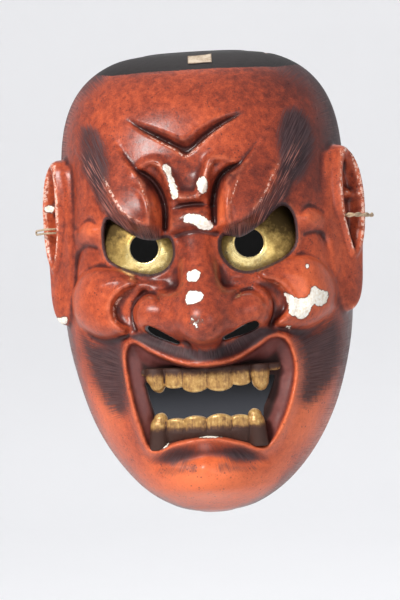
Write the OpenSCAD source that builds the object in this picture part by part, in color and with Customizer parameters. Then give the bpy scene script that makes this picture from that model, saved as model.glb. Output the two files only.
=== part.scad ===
// Noh demon mask: a carved cypress shell with gilt eye plates, gilt teeth, ear loops and a blank label.
// The face looks along -Y, +Z is up and +X is to the viewer's right. The rim that meets the wearer lies
// in the plane y = 0, and the origin is the middle of that rim. "left" and "right" are the viewer's.

/* [Mask] */
// Height from chin to crown
mask_h = 210; // [190:1:230]
// Width of the face at the cheeks, without the ears
face_w = 133; // [128:1:138]
// Depth of the face at the brow, from the rim
face_d = 62; // [58:1:66]
// Thickness of the carved wood
wall = 8; // [7:0.5:9]

/* [Relief] */
// How far the nose stands out of the face
nose_h = 26; // [22:1:29]
// How far the brows stand out of the face
brow_h = 9; // [6:0.5:11]
// How far the cheeks stand out of the face
cheek_h = 9; // [6:0.5:11]
// Depth of the frown groove on the forehead
frown_h = 3; // [2:0.5:4]

/* [Eyes] */
// Diameter of the pupil hole
pupil_d = 12.4; // [10:0.2:14]
// Distance between the pupils
pupil_gap = 45.4; // [43:0.2:47]
// Thickness of the gilt eye plates
plate_t = 1.6; // [1.2:0.1:2]

/* [Mouth] */
// Thickness of the tooth rows from front to back
tooth_t = 6; // [5:0.5:7]
// Clear gap between the two rows of teeth
bite_gap = 9; // [7:0.5:10]

/* [Ears] */
// Height of an ear
ear_h = 73; // [66:1:78]
// Thickness of an ear
ear_t = 7; // [6:0.5:8]
// Radius of the cord hole in an ear
cord_hole_r = 1.7; // [1.5:0.1:2]

/* [Cord and label] */
// Diameter of the doubled ear cord
cord_d = 2.2; // [1.8:0.1:2.6]
// Width of the paper label
label_w = 10.8; // [9:0.2:12]
// Height of the paper label
label_h = 7; // [6:0.2:8]

/* [Hidden] */

// Everything below is drawn on a mask 210 high and scaled to mask_h.
drawn_h = 210;
size_k = mask_h / drawn_h;
half_h = drawn_h / 2;
half_w = face_w / 2;

// The grid of the carved surface: rows from chin to crown, columns from ear to ear.
rows = 54;
outer_cols = 46;
inner_cols = 20;
row_crowding = 0.25;
col_crowding = 0.45;

// The outline turns from its lower half, an ellipse, into its squarer upper half between these heights.
jaw_z = -5;
temple_z = 40;
temple_w = half_w - 1.5;
brow_z = 15;

// The middle of nose and mouth sits this far to the right, as the mask is carved.
skew = 3.2;
skew_z = -30;
skew_span = 32;

pupil_z = 15;
pupil_mid = 0.3;
eye_ball_r = 31;
eye_ball_at = [19.5, 14];
eye_ball_back = 24;
left_eye = [[-37.5, 28.5], [-40.3, 21], [-38.5, 11.5], [-30, 6.5], [-19.8, 3.2], [-12.7, 6.5], [-9.8, 15],
    [-12.5, 19.5], [-24, 23]];
right_eye = [[38, 30.5], [43, 22], [42, 13], [31.5, 6], [21.2, 2.8], [12.8, 7], [10.6, 15.5], [13, 19.8],
    [26, 22.5]];

// Edge of the lips on the face, and the opening behind them that lets light through.
lip_edge = [[-28.5, -25.2], [-20, -30], [-9, -35], [2, -36.6], [14, -35], [23, -30.5], [31, -25.6],
    [37.5, -28], [40.4, -41], [35.2, -60], [26, -73.2], [15, -70.4], [3, -67.6], [-12, -69.4],
    [-24, -72.4], [-28.6, -60], [-32.2, -42], [-32.8, -29.8]];
mouth_hole = [[-24, -38.5], [-13, -39.5], [2.5, -41], [18, -39.5], [32, -38.5], [33.4, -47], [30, -57],
    [26.5, -65], [14, -64.5], [3, -63.5], [-8, -64], [-19, -65.5], [-22.5, -57], [-25.4, -47]];
lip_back = -53.5;
lip_spread = 1.15;
lip_close = 0.8;

// The tooth rows lie on an arc about an upright axis, a little right of the middle.
arch_x = 3;
arch_y = 1;
arch_r = 61;
bite_z = -52.7;
upper_gum_z = -37.5;
lower_gum_z = -65.5;
incisor_w = 10;
notch = 1.4;
notch_edge = 12;
fang_r = 3.4;
upper_half = 31;
upper_fang = 23;
lower_half = 25;
lower_fang = 20;

// Eyes, mouth and pupils are cut straight through between these two depths.
cut_front = -92;
cut_back = -30;

nostril_at = [15.5, -21.8];
nostril_size = [14, 5];
nostril_slope = 26;
nostril_front = -100;
nostril_back = -40;

// An ear is a thick leaf between a front edge on the temple and a free outer edge.
ear_front = [58.5, -29.5];
ear_outer = [72.4, -12.5];
ear_z = 19.5;
ear_root = 4;
// The scoop in the ear's front: place and size as shares of the leaf, and its depth.
scoop_at = [0.22, 0.06];
scoop_size = [0.55, 0.68];
scoop_floor = 3;
// What is cut from the ears inside the shell.
room_size = [100, 90];
cord_z = 25.5;
cord_in = [51, -12.5];
cord_out = [66.5, -27.5];
cord_sides = 8;

label_at = [4.2, 98];
label_lift = 0.1;
label_t = 0.5;

function lerp(a, b, t) = a + (b - a) * t;

// Half width of the rim's outline at height z
function outline(z) =
    z > temple_z ? temple_w * pow(max(0, 1 - pow((z - temple_z) / (half_h - temple_z), 3.2)), 1 / 3)
    : z < jaw_z ? half_w * sqrt(max(0, 1 - pow((jaw_z - z) / (half_h + jaw_z), 2)))
    : lerp(half_w, temple_w, (z - jaw_z) / (temple_z - jaw_z));

// Depth of the plain dome down the middle of the face at height z
function middle(z) =
    z > brow_z ? face_d * sqrt(max(0, 1 - pow((z - brow_z) / (half_h - brow_z), 2.6)))
    : face_d * pow(max(0, 1 - pow((brow_z - z) / (half_h + brow_z), 3.5)), 1 / 2.8);

// Depth of the plain dome at (x, z)
function dome(x, z) =
    outline(z) < 0.01 ? 0
    : middle(z) * sqrt(max(0, 1 - pow(min(1, abs(x) / outline(z)), 2.6)));

// A rounded swelling of height h, centred at (cx, cz), with radii rx and rz
function swell(x, z, cx, cz, rx, rz, h) = h * exp(-pow((x - cx) / rx, 2) - pow((z - cz) / rz, 2));

// A rounded ridge of height ha to hb along the line from a to b, with half width w; a higher edge
// value gives it a flatter top and steeper sides
function ridge(x, z, a, b, w, ha, hb, edge = 2) =
    let (
        d = b - a,
        t = max(0, min(1, ((x - a[0]) * d[0] + (z - a[1]) * d[1]) / (d * d))),
        gap = norm([x, z] - a - t * d)
    )
    lerp(ha, hb, t) * exp(-pow(gap / w, edge));

function skewed(z) = skew * exp(-pow((z - skew_z) / skew_span, 2));

function nose(x, z) =
    let (
        tip_z = -21,
        bridge_z = 22,
        bridge_w = 7,
        tip_w = 13,
        t = max(0, min(1, (bridge_z - z) / (bridge_z - tip_z))),
        slope = 0.5 * pow(t, 1.3) + 0.5 * t * t * (3 - 2 * t),
        rise = z < tip_z ? exp(-pow((z - tip_z) / 7, 2)) : slope
    )
    nose_h * rise * exp(-pow(abs(x) / lerp(bridge_w, tip_w, t), 2.6));

function brows(x, z) =
    ridge(abs(x), z, [41, 62], [21, 30], 11, brow_h * 0.5, brow_h, 4);

function cheeks(x, z) =
    swell(abs(x), z, 42, -9, 15, 15, cheek_h) + swell(abs(x), z, 21, -12, 9, 9, 11);

function frown(x, z) = -ridge(abs(x), z, [0, 58.5], [24, 71], 2.6, frown_h, frown_h * 0.6);

function root_of_nose(x, z) =
    swell(x, z, 0, 25, 11, 5, 4) + ridge(abs(x), z, [7, 36], [12, 48], 3, 3, 2)
    - swell(abs(x), z, 15, 40, 4, 9, 4);

function sockets(x, z) = -swell(abs(x), z, 26, 14, 17, 11, 6);

function muzzle(x, z) = swell(x, z, 0, -48, 36, 24, 6) + swell(x, z, 0, -86, 24, 12, 8);

// Everything carved above or into the plain dome, fading out towards the rim
function relief(x, z) =
    let (xs = x - skewed(z))
    dome(x, z) / face_d * (nose(xs, z) + brows(x, z) + cheeks(xs, z) + frown(x, z) + root_of_nose(x, z)
        + sockets(x, z) + muzzle(xs, z));

function face(x, z) = dome(x, z) + relief(x, z);

// The hollow is the dome drawn in by the wall, with a pocket for the wearer's nose and more wood
// left behind the teeth.
in_w = 1 - wall / half_w;
in_h = 1 - wall / half_h;
in_d = 1 - (wall + 1) / face_d;
function hollow(x, z) =
    dome(x / in_w, z / in_h)
        * (in_d + (swell(x, z, 2, -14, 12, 16, 14) - swell(x, z, arch_x, -52, 40, 22, 4)) / face_d);

// Steps from -1 to 1 that crowd together near the rim
function step(i, n, crowding) = let (s = 2 * i / n - 1) lerp(s, sin(90 * s), crowding);

// Points of a grid between the chin pole and the crown pole, column by column in each row
function grid(cols, kw, kh, outside) = [
    for (i = [1:rows - 1], j = [0:cols])
        let (
            z = half_h * step(i, rows, row_crowding),
            x = outline(z) * step(j, cols, col_crowding)
        )
        [x * kw, outside ? -face(x, z) : -hollow(x * kw, z * kh), z * kh]
];

// Turns quads into triangles
function split(a, b, c, d) = [[a, b, c], [a, c, d]];
function flat(lists) = [for (l = lists) each l];

function sheet_faces(cols, first, chin, crown, turn) =
    let (
        w = cols + 1,
        last = first + (rows - 2) * w,
        quads = flat([
            for (i = [0:rows - 3], j = [0:cols - 1])
                let (a = first + i * w + j) split(a, a + 1, a + w + 1, a + w)
        ]),
        ends = [for (j = [0:cols - 1]) each [[chin, first + j + 1, first + j], [crown, last + j, last + j + 1]]]
    )
    [for (f = concat(quads, ends)) turn ? [f[0], f[2], f[1]] : f];

module carved_shell() {
    outer = grid(outer_cols, 1, 1, true);
    inner = grid(inner_cols, in_w, in_h, false);
    poles = [[0, 0, -half_h], [0, 0, half_h], [0, 0, -half_h * in_h], [0, 0, half_h * in_h]];
    first_in = len(outer);
    pole = first_in + len(inner);
    ow = outer_cols + 1;
    iw = inner_cols + 1;
    rim = flat([
        for (i = [0:rows - 3])
            let (
                ol = i * ow,
                il = first_in + i * iw,
                or = ol + outer_cols,
                ir = il + inner_cols
            )
            concat(split(ol, ol + ow, il + iw, il), split(or, ir, ir + iw, or + ow))
    ]);
    ol_top = (rows - 2) * ow;
    il_top = first_in + (rows - 2) * iw;
    ends = concat(
        split(pole, 0, first_in, pole + 2),
        split(pole, pole + 2, first_in + inner_cols, outer_cols),
        split(pole + 1, pole + 3, il_top, ol_top),
        split(pole + 1, ol_top + outer_cols, il_top + inner_cols, pole + 3)
    );
    polyhedron(
        concat(outer, inner, poles),
        concat(
            sheet_faces(outer_cols, 0, pole, pole + 1, true),
            sheet_faces(inner_cols, first_in, pole + 2, pole + 3, false),
            rim,
            ends
        ),
        convexity = 12
    );
}

// A closed Catmull-Rom curve through the points
function smooth_loop(p, steps) =
    let (n = len(p))
    [
        for (i = [0:n - 1], k = [0:steps - 1])
            let (
                a = p[(i + n - 1) % n],
                b = p[i],
                c = p[(i + 1) % n],
                d = p[(i + 2) % n],
                t = k / steps
            )
            0.5 * (2 * b + (c - a) * t + (2 * a - 5 * b + 4 * c - d) * t * t
                + (3 * b - a - 3 * c + d) * t * t * t)
    ];

// Stands a drawing of (x, z) points up, and runs it from y_front back to y_back
module upright(y_front, y_back) {
    translate([0, y_back, 0])
        rotate([90, 0, 0])
            linear_extrude(y_back - y_front)
                children();
}

// A funnel between two outlines with the same number of points, each closed by a fan about its centre
module funnel(front, y_front, back, y_back, centre) {
    n = len(front);
    points = concat(
        [for (p = front) [p[0], y_front, p[1]]],
        [for (p = back) [p[0], y_back, p[1]]],
        [for (y = [y_front, y_back]) [centre[0], y, centre[1]]]
    );
    polyhedron(
        points,
        flat([
            for (i = [0:n - 1])
                let (j = (i + 1) % n)
                concat([[2 * n, i, j], [2 * n + 1, n + j, n + i]], split(j, i, n + i, n + j))
        ]),
        convexity = 6
    );
}

function around(p, centre, k) = [for (q = p) centre + (q - centre) * k];

module mouth_cut() {
    centre = [arch_x, bite_z];
    spread = smooth_loop(around(lip_edge, centre, lip_spread), 2);
    funnel(spread, cut_front, around(spread, centre, lip_close), lip_back, centre);
    upright(cut_front, cut_back)
        polygon(smooth_loop(mouth_hole, 3));
}

module eye_cut(eye) {
    upright(cut_front, cut_back)
        polygon(smooth_loop(eye, 4));
}

module nostril_cut(side) {
    translate([skew - 0.3 + side * nostril_at[0], 0, nostril_at[1]])
        rotate([0, side * nostril_slope, 0])
            upright(nostril_front, nostril_back)
                for (s = [-1, 1])
                    hull() {
                        circle(d = nostril_size[1], $fn = 24);
                        translate([s * (nostril_size[0] - nostril_size[1]) / 2, 0])
                            circle(d = nostril_size[1], $fn = 24);
                    }
}

// Outline of the ear's leaf: across from the temple to the free edge, and up
function ear_leaf(w, h) = [
    for (a = [0:12:348])
        let (lobe = a > 180 ? 0.82 : 1)
        [w * (0.5 + 0.5 * cos(a) * lobe + 0.05 * sin(a)), h / 2 * sin(a)]
];

module ear() {
    run = ear_outer - ear_front;
    width = norm(run);
    turn = atan2(run[1], run[0]);
    translate([ear_front[0], ear_front[1], ear_z])
        rotate([0, 0, turn])
            difference() {
                translate([-ear_root, ear_t / 2, 0])
                    rotate([90, 0, 0])
                        linear_extrude(ear_t)
                            polygon(ear_leaf(width + ear_root, ear_h));
                translate([width * scoop_at[0], scoop_floor - ear_t / 2, ear_h * scoop_at[1]])
                    rotate([90, 0, 0])
                        linear_extrude(ear_t)
                            polygon(ear_leaf(width * scoop_size[0], ear_h * scoop_size[1]));
            }
}

module cord_bore() {
    run = cord_out - cord_in;
    translate([cord_in[0], cord_in[1], cord_z])
        rotate([0, 90, atan2(run[1], run[0])])
            cylinder(r = cord_hole_r, h = norm(run) + 6, $fn = 12);
}

module face_shell() {
    color("firebrick")
        scale(size_k)
            difference() {
                union() {
                    carved_shell();
                    difference() {
                        for (side = [0, 1])
                            mirror([side, 0, 0])
                                ear();
                        translate([0, 0, ear_z])
                            cube([room_size[0], room_size[1], ear_h + ear_root], center = true);
                    }
                }
                mouth_cut();
                upper_row();
                lower_row();
                eye_cut(left_eye);
                eye_cut(right_eye);
                nostril_cut(-1);
                nostril_cut(1);
                cord_bore();
                mirror([1, 0, 0])
                    cord_bore();
            }
}

module eye_plate(eye, side) {
    ball = [side * eye_ball_at[0], -eye_ball_back, eye_ball_at[1]];
    color("goldenrod")
        scale(size_k)
            difference() {
                intersection() {
                    translate(ball)
                        sphere(r = eye_ball_r, $fn = 96);
                    eye_cut(eye);
                }
                translate(ball)
                    sphere(r = eye_ball_r - plate_t, $fn = 96);
                translate([pupil_mid + side * pupil_gap / 2, cut_back, pupil_z])
                    rotate([90, 0, 0])
                        cylinder(d = pupil_d, h = cut_back - cut_front, $fn = 64);
            }
}

module left_eye_plate() {
    eye_plate(left_eye, -1);
}

module right_eye_plate() {
    eye_plate(right_eye, 1);
}

// The row seen from above: an arc with a notch between each two teeth, and a plain back
function row_outline(half) =
    let (
        reach = half / arch_r * 180 / PI,
        front = [
            for (k = [-30:30])
                let (a = reach * k / 30, along = a / 180 * PI * arch_r)
                [a, arch_r - notch * pow(cos(180 * along / incisor_w), notch_edge)]
        ],
        back = [for (k = [10:-1:-10]) [reach * k / 10, arch_r - tooth_t]]
    )
    [for (p = concat(front, back)) [p[1] * sin(p[0]), -p[1] * cos(p[0])]];

function ring(r, n) = [for (k = [0:n - 1]) r * [cos(360 * k / n), sin(360 * k / n)]];

// A curved row of teeth from z_low to z_high, with a fang near each end
module tooth_row(z_low, z_high, half, fang_at, fang_low, fang_high) {
    translate([arch_x, arch_y, 0]) {
        translate([0, 0, z_low])
            linear_extrude(z_high - z_low)
                polygon(row_outline(half));
        for (side = [-1, 1])
            rotate([0, 0, side * fang_at / arch_r * 180 / PI])
                translate([0, fang_r - arch_r - 1.2, fang_low])
                    linear_extrude(fang_high - fang_low)
                        polygon(ring(fang_r, 24));
    }
}

module upper_row() {
    edge = bite_z + bite_gap / 2;
    tooth_row(edge, upper_gum_z, upper_half, upper_fang, edge - 1, upper_gum_z - 0.6);
}

module lower_row() {
    edge = bite_z - bite_gap / 2;
    tooth_row(lower_gum_z, edge, lower_half, lower_fang, lower_gum_z + 0.6, edge + 2);
}

module upper_teeth() {
    color("darkgoldenrod")
        scale(size_k)
            upper_row();
}

module lower_teeth() {
    color("darkgoldenrod")
        scale(size_k)
            lower_row();
}

// The doubled cord runs from its knot in the hollow through the ear and over the ear's free edge.
cord_route = [[49.6, -11.2], [51, -12.5], [58, -19.4], [66, -27.2], [68.8, -28.6], [71.4, -26.2],
    [74, -21.5], [76.4, -16.6], [77.4, -13.8]];
cord_girth = [0.3, 2.1, 1, 1, 1, 1, 1, 1, 0.5];

module cord_tube() {
    n = len(cord_route);
    points = [
        for (i = [0:n - 1], k = [0:cord_sides - 1])
            let (
                ahead = cord_route[min(n - 1, i + 1)] - cord_route[max(0, i - 1)],
                across = [ahead[1], -ahead[0]] / norm(ahead),
                r = cord_d / 2 * cord_girth[i],
                a = 360 * k / cord_sides
            )
            [
                cord_route[i][0] + across[0] * r * cos(a),
                cord_route[i][1] + across[1] * r * cos(a),
                cord_z + r * sin(a)
            ]
    ];
    sides = [
        for (i = [0:n - 2], k = [0:cord_sides - 1])
            let (a = i * cord_sides + k, b = i * cord_sides + (k + 1) % cord_sides)
            each split(a, b, b + cord_sides, a + cord_sides)
    ];
    caps = [
        [for (k = [0:cord_sides - 1]) cord_sides - 1 - k],
        [for (k = [0:cord_sides - 1]) (n - 1) * cord_sides + k]
    ];
    polyhedron(points, concat(sides, caps), convexity = 4);
}

module right_ear_cord() {
    color("tan")
        scale(size_k)
            cord_tube();
}

module left_ear_cord() {
    color("tan")
        scale(size_k)
            mirror([1, 0, 0])
                cord_tube();
}

// The label follows the forehead, a hair above it.
module label() {
    n = 4;
    slope = (face(label_at[0], label_at[1] + 1) - face(label_at[0], label_at[1] - 1)) / 2;
    rise = label_h / sqrt(1 + slope * slope);
    w = n + 1;
    function sheet(lift) = [
        for (i = [0:n], j = [0:n])
            let (
                x = label_at[0] + label_w * (j / n - 0.5),
                z = label_at[1] + rise * (i / n - 0.5)
            )
            [x, -face(x, z) - lift, z + lift * 0.5]
    ];
    under = (n + 1) * w;
    m = under - 1;
    color("wheat")
        scale(size_k)
            polyhedron(
                concat(sheet(label_lift + label_t), sheet(label_lift)),
                concat(
                    flat([for (i = [0:n - 1], j = [0:n - 1]) let (a = i * w + j) split(a, a + w, a + w + 1, a + 1)]),
                    flat([
                        for (i = [0:n - 1], j = [0:n - 1])
                            let (a = under + i * w + j) split(a, a + 1, a + w + 1, a + w)
                    ]),
                    flat([
                        for (j = [0:n - 1])
                            concat(
                                split(j, j + 1, under + j + 1, under + j),
                                split(m - j, m - j - 1, under + m - j - 1, under + m - j),
                                split(j * w + w, j * w, under + j * w, under + j * w + w),
                                split(j * w + n, j * w + w + n, under + j * w + w + n, under + j * w + n)
                            )
                    ])
                )
            );
}

face_shell();
left_eye_plate();
right_eye_plate();
upper_teeth();
lower_teeth();
left_ear_cord();
right_ear_cord();
label();
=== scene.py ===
"""A carved noh demon mask: lacquered wood with gilt eye plates and teeth, sculpted on the CAD frame."""
import math
import bpy
import numpy as np
from mathutils import Matrix, Vector


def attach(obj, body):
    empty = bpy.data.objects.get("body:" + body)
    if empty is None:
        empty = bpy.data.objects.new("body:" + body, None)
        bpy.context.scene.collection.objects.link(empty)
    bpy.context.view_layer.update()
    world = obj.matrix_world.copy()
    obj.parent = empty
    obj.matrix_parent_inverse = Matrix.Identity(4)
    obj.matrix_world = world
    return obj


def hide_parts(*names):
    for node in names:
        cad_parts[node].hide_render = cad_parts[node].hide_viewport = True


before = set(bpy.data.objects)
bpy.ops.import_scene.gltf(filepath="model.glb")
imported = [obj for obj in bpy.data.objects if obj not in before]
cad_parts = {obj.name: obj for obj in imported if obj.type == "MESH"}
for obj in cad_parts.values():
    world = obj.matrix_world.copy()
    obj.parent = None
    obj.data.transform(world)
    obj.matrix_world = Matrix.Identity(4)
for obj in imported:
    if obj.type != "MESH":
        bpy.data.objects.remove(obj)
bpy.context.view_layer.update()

# Everything below is in mm, in the CAD's frame, until make() turns it into metres
MM = 0.001
STEP = 0.7
CHANCE = np.random.default_rng(7)
HALF_H = 105.0
HALF_W, TEMPLE_W, DEEP, WALL = 66.5, 65, 62, 8
TEMPLE_Z, BROW_Z, JAW_Z = 40, 15, -5
LEFT_SLIM = 0.972  # the carving is a little narrower on the viewer's left
PUPIL_Z, PUPIL_MID, PUPIL_OUT = 15, 0.3, 22.7
ARCH_X, ARCH_D, ARCH_R = 3, -1, 61
CORD_Z = 25.5
BLACK_Z = 92.7  # lower edge of the crown's black band

# ---- Camera: the photograph's angle, a metre from the rim plane, leaning three degrees ----
AZIMUTH, LEAN, LENS = math.radians(4), math.radians(3), 131.72
flat_right = Vector((math.cos(AZIMUTH), math.sin(AZIMUTH), 0))
cam_right = flat_right * math.cos(LEAN) - Vector((0, 0, 1)) * math.sin(LEAN)
cam_up = flat_right * math.sin(LEAN) + Vector((0, 0, 1)) * math.cos(LEAN)
cam_back = Vector((math.sin(AZIMUTH), -math.cos(AZIMUTH), 0))
camera = bpy.data.objects.new("camera", bpy.data.cameras.new("camera"))
bpy.context.collection.objects.link(camera)
camera.data.lens = LENS
camera.matrix_world = Matrix.Translation(cam_right * -0.00273 + cam_up * -0.00865 + cam_back) @ Matrix(
    (cam_right, cam_up, cam_back)
).transposed().to_4x4()
bpy.context.scene.camera = camera
bpy.context.scene.view_settings.view_transform = "Standard"


# ---- Smooth lines and fields ----
def ease(v, lo, hi):
    """0 before lo, 1 after hi, smooth between; lo may be above hi."""
    t = np.clip((v - lo) / (hi - lo), 0, 1)
    return t * t * (3 - 2 * t)


def bell(v, middle, width):
    """1 at the middle, falling smoothly to 0 on both sides."""
    return np.exp(-(((v - middle) / width) ** 2))


def smooth(points, steps=5, closed=False):
    """A Catmull-Rom line through given points of any width."""
    p = np.array(points, float)
    if closed:
        a, b, c, d = np.roll(p, 1, 0), p, np.roll(p, -1, 0), np.roll(p, -2, 0)
    else:
        e = np.vstack([2 * p[0] - p[1], p, 2 * p[-1] - p[-2]])
        a, b, c, d = e[:-3], e[1:-2], e[2:-1], e[3:]
    t = (np.arange(steps) / steps)[:, None, None]
    line = 0.5 * (2 * b + (c - a) * t + (2 * a - 5 * b + 4 * c - d) * t**2 + (3 * b - a - 3 * c + d) * t**3)
    line = line.transpose(1, 0, 2).reshape(-1, p.shape[1])
    return line if closed else np.vstack([line, p[-1]])


def pairs(line, closed=False):
    return list(zip(line, np.roll(line, -1, 0))) if closed else list(zip(line[:-1], line[1:]))


def beside(u, v, a, b):
    """How far along a-b the nearest place is, from 0 to 1, and the distance to it."""
    du, dv = b[0] - a[0], b[1] - a[1]
    t = np.clip(((u - a[0]) * du + (v - a[1]) * dv) / (du * du + dv * dv + 1e-9), 0, 1)
    return t, np.hypot(u - a[0] - t * du, v - a[1] - t * dv)


class Plane:
    """A flat drawing of relief and paint over two axes."""

    def __init__(self, us, vs):
        self.us, self.vs = us, vs
        self.u, self.v = np.meshgrid(us, vs, indexing="ij")

    def window(self, line, reach):
        i = np.searchsorted(self.us, [line[:, 0].min() - reach, line[:, 0].max() + reach])
        j = np.searchsorted(self.vs, [line[:, 1].min() - reach, line[:, 1].max() + reach])
        return slice(*i), slice(*j)

    def ridge(self, points, power=2.0, steps=5):
        """A ridge along points (u, v, half width, height)."""
        line = smooth(points, steps)
        out = np.zeros_like(self.u)
        for a, b in pairs(line):
            w = self.window(np.array([a, b]), 3.2 * max(a[2], b[2]))
            t, gap = beside(self.u[w], self.v[w], a, b)
            width = a[2] + t * (b[2] - a[2])
            out[w] = np.maximum(out[w], (a[3] + t * (b[3] - a[3])) * np.exp(-((gap / width) ** power)))
        return out

    def ridges(self, power, *paths):
        return sum(self.ridge(path, power) for path in paths)

    def gap(self, points, closed=True, steps=6):
        """Distance to a smooth line; below 0 inside a closed one."""
        line = smooth(points, steps, closed)
        best, inside = np.full(self.u.shape, 1e3), np.zeros(self.u.shape, bool)
        for a, b in pairs(line, closed):
            best = np.minimum(best, beside(self.u, self.v, a, b)[1])
            crossed = (a[1] > self.v) != (b[1] > self.v)
            inside ^= crossed & (self.u < (b[0] - a[0]) * (self.v - a[1]) / (b[1] - a[1] + 1e-12) + a[0])
        return np.where(inside, -best, best) if closed else best

    def swell(self, cu, cv, ru, rv, h, power=2.0):
        far = ((self.u - cu) / ru) ** 2 + ((self.v - cv) / rv) ** 2
        return h * np.exp(-(far ** (power / 2)))

    def swells(self, table, power=2.0):
        """Swells (u, v, half width, half height, rise) added up."""
        return sum(self.swell(*row, power) for row in table)

    def at(self, drawing, u, v):
        """The drawing's value at points (u, v)."""
        i = np.clip((u - self.us[0]) / (self.us[1] - self.us[0]), 0, len(self.us) - 1.001)
        j = np.clip((v - self.vs[0]) / (self.vs[1] - self.vs[0]), 0, len(self.vs) - 1.001)
        i0, j0 = i.astype(int), j.astype(int)
        a, b = i - i0, j - j0
        low = drawing[i0, j0] * (1 - a) + drawing[i0 + 1, j0] * a
        return low * (1 - b) + (drawing[i0, j0 + 1] * (1 - a) + drawing[i0 + 1, j0 + 1] * a) * b


def soft_min(a, b, k):
    h = np.clip(0.5 + 0.5 * (b - a) / k, 0, 1)
    return b + (a - b) * h - k * h * (1 - h)


def soft_max(a, b, k):
    return -soft_min(-a, -b, k)


class Block:
    """A block of points with the distance to a surface at each, below 0 inside the solid."""

    def __init__(self, low, high, step):
        self.step = step
        self.axes = [np.arange(a, b + step, step) for a, b in zip(low, high)]
        self.field = np.full([len(a) for a in self.axes], 50.0, np.float32)

    def part(self, low=None, high=None):
        """Slices of the block between two corners, and its x, depth and z there."""
        low, high = low or [-1e3] * 3, high or [1e3] * 3
        cut = tuple(slice(*np.searchsorted(a, [p, q])) for a, p, q in zip(self.axes, low, high))
        x, y, z = (a[c] for a, c in zip(self.axes, cut))
        return cut, x[:, None, None], -y[None, :, None], z[None, None, :]

    def add(self, shape, k=2.0, low=None, high=None):
        cut, x, d, z = self.part(low, high)
        self.field[cut] = soft_min(self.field[cut], shape(x, d, z), k)

    def cut(self, shape, k=1.0, low=None, high=None):
        cut, x, d, z = self.part(low, high)
        self.field[cut] = soft_max(self.field[cut], -shape(x, d, z), k)

    def mesh(self):
        """Points and quads of the surface, one point in each crossed cell."""
        f = self.field
        inside = f < 0
        count = sum(
            inside[i : f.shape[0] - 1 + i, j : f.shape[1] - 1 + j, k : f.shape[2] - 1 + k].astype(np.int8)
            for i in (0, 1) for j in (0, 1) for k in (0, 1)
        )
        cell = np.argwhere((count > 0) & (count < 8))
        n = len(cell)
        ids = np.full(count.shape, -1, np.int64)
        ids[tuple(cell.T)] = np.arange(n)
        total, hits = np.zeros((n, 3)), np.zeros(n)
        corners = [(i, j, k) for i in (0, 1) for j in (0, 1) for k in (0, 1)]
        for a in corners:
            for axis in range(3):
                if a[axis]:
                    continue
                b = tuple(v + (m == axis) for m, v in enumerate(a))
                fa, fb = f[tuple((cell + a).T)], f[tuple((cell + b).T)]
                m = (fa < 0) != (fb < 0)
                t = fa[m] / (fa[m] - fb[m])
                total[m] += np.array(a) + t[:, None] * (np.array(b) - np.array(a))
                hits[m] += 1
        points = (total / hits[:, None] + cell) * self.step + [a[0] for a in self.axes]
        quads = []
        for axis in range(3):
            side = [slice(1, -1)] * 3
            first, second = list(side), list(side)
            first[axis], second[axis] = slice(0, -1), slice(1, None)
            a, b = inside[tuple(first)], inside[tuple(second)]
            at = np.argwhere(a != b)
            out = a[tuple(at.T)]
            at = at + 1
            at[:, axis] -= 1
            p, q = (axis + 1) % 3, (axis + 2) % 3
            ring = []
            for dp, dq in ((-1, -1), (0, -1), (0, 0), (-1, 0)):
                c = at.copy()
                c[:, p] += dp
                c[:, q] += dq
                ring.append(ids[tuple(c.T)])
            ring = np.array(ring).T
            ring[~out] = ring[~out][:, ::-1]
            quads.append(ring)
        return points, np.vstack(quads)


def ball_chain(points):
    """Distance to a chain of balls (x, depth, z, r) with cones between them."""
    def shape(x, d, z):
        best = None
        for a, b in pairs(np.array(points, float)):
            run = b[:3] - a[:3]
            t = np.clip(((x - a[0]) * run[0] + (d - a[1]) * run[1] + (z - a[2]) * run[2]) / (run @ run), 0, 1)
            gap = np.sqrt((x - a[0] - t * run[0]) ** 2 + (d - a[1] - t * run[1]) ** 2
                          + (z - a[2] - t * run[2]) ** 2) - (a[3] + t * (b[3] - a[3]))
            best = gap if best is None else np.minimum(best, gap)
        return best
    return shape


def egg(cx, cd, cz, rx, rd, rz):
    def shape(x, d, z):
        k = np.sqrt(((x - cx) / rx) ** 2 + ((d - cd) / rd) ** 2 + ((z - cz) / rz) ** 2)
        return (k - 1) * min(rx, rd, rz)
    return shape


# ---- The face's plain dome, its hollow, and the relief over it ----
def outline(z):
    """Half width of the rim at height z."""
    top = TEMPLE_W * (1 - np.clip((z - TEMPLE_Z) / (HALF_H - TEMPLE_Z), 0, 1) ** 3.2) ** (1 / 3)
    low = HALF_W * np.sqrt(1 - np.clip((JAW_Z - z) / (HALF_H + JAW_Z), 0, 1) ** 2)
    side = HALF_W - (HALF_W - TEMPLE_W) * (z - JAW_Z) / (TEMPLE_Z - JAW_Z)
    return np.where(z > TEMPLE_Z, top, np.where(z < JAW_Z, low, side))


def middle(z):
    """Depth of the dome down the middle at height z."""
    top = DEEP * np.sqrt(1 - np.clip((z - BROW_Z) / (HALF_H - BROW_Z), 0, 1) ** 2.6)
    low = DEEP * (1 - np.clip((BROW_Z - z) / (HALF_H + BROW_Z), 0, 1) ** 3.5) ** (1 / 2.8)
    return np.where(z > BROW_Z, top, low)


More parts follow.
